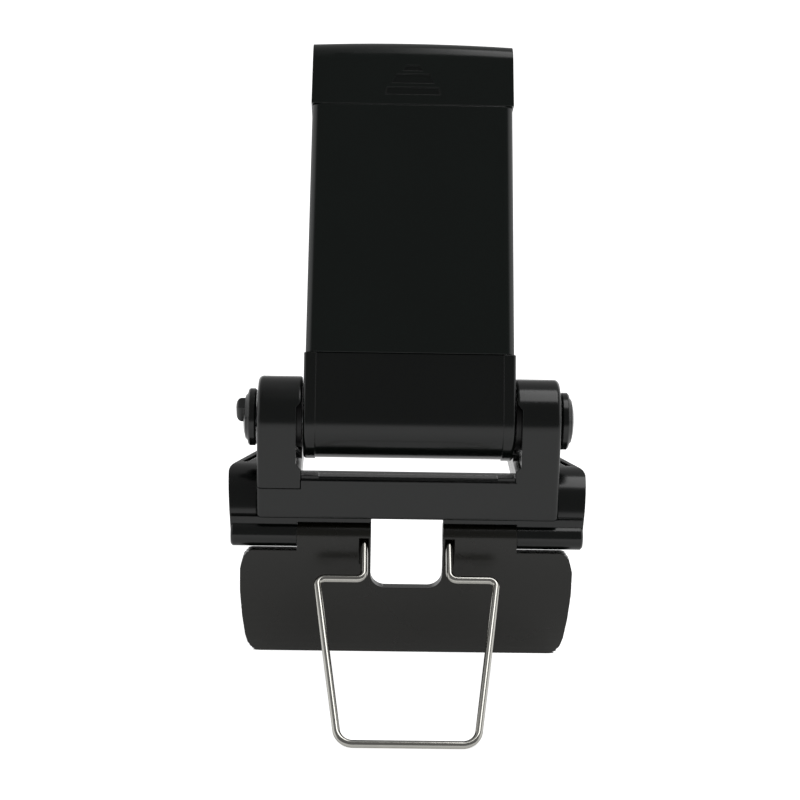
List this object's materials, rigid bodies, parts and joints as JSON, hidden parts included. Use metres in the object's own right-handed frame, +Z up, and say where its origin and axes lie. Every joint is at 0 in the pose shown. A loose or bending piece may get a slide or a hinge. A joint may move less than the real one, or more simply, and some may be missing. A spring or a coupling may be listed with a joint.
{
  "type": "controller phone clip",
  "caption": "Clip that seats on a game controller and holds a phone above it: tilting holder with a sprung sliding jaw, hinged rear plate and fold-out wire stand.",
  "frame": {"origin": "on the front face of the saddle's rear wall, mid-width, level with the undersides of the seat pads", "axes": "+X to the right seen from behind the clip, +Y from the back towards the user, +Z up"},
  "size_m": [0.0722, 0.09, 0.1248],
  "materials": {
    "black_plastic": "fine satin grain",
    "black_rubber": "matt",
    "zinc_steel": "zinc plated",
    "bright_wire": "bright drawn wire",
    "spring_steel": "oiled spring wire",
    "nylon": "smooth"
  },
  "bodies": {
    "base": {"saddle": "black_plastic", "yoke": "black_plastic", "left_ear": "black_plastic", "yoke_screws": "zinc_steel", "seat_pad_left": "black_rubber", "seat_pad_right": "black_rubber", "friction_washer_left": "nylon", "friction_washer_right": "nylon", "spring_washer": "zinc_steel", "pivot_nut": "zinc_steel", "end_cap": "black_plastic", "flap_spring_left": "spring_steel", "flap_spring_right": "spring_steel"},
    "knob": {"thumb_knob": "black_plastic", "pivot_bolt": "zinc_steel"},
    "holder": {"lower_block": "black_plastic", "lower_jaw_pad": "black_rubber", "rear_sleeve": "black_plastic", "front_cover": "black_plastic", "front_pad": "black_rubber", "cover_screws": "zinc_steel", "block_screws": "zinc_steel", "return_spring_left": "spring_steel", "return_spring_right": "spring_steel"},
    "upper_jaw": {"jaw_cap": "black_plastic", "slide_tongue": "black_plastic", "upper_jaw_pad": "black_rubber", "jaw_screws": "zinc_steel"},
    "flap": {"rear_plate": "black_plastic", "rear_plate_pad": "black_rubber"},
    "stand": {"wire_stand": "bright_wire"}
  },
  "joints": [
    {"name": "holder_tilt", "type": "hinge", "parent": "base", "child": "holder", "pos_m": [0, 0.0028, 0.01385], "axis": [1, 0, 0], "range_deg": [-30, 100]},
    {"name": "jaw_slide", "type": "slide", "parent": "holder", "child": "upper_jaw", "axis": [0, 0.4067, 0.9135], "range_m": [0, 0.027], "stiffness_N_per_m": 180, "springref_m": -0.016, "deforming": ["return_spring_left", "return_spring_right"]},
    {"name": "flap_hinge", "type": "hinge", "parent": "base", "child": "flap", "pos_m": [0, -0.0029, -0.00875], "axis": [-1, 0, 0], "range_deg": [0, 45], "stiffness_Nm_per_rad": 0.04, "springref_deg": -34.38, "deforming": ["flap_spring_left", "flap_spring_right"]},
    {"name": "stand_hinge", "type": "hinge", "parent": "flap", "child": "stand", "pos_m": [0, -0.0029, -0.00875], "axis": [-1, 0, 0], "range_deg": [-22, 18]},
    {"name": "knob_turn", "type": "hinge", "parent": "base", "child": "knob", "pos_m": [0, 0.0028, 0.01385], "axis": [1, 0, 0], "range_deg": [-90, 90]}
  ]
}
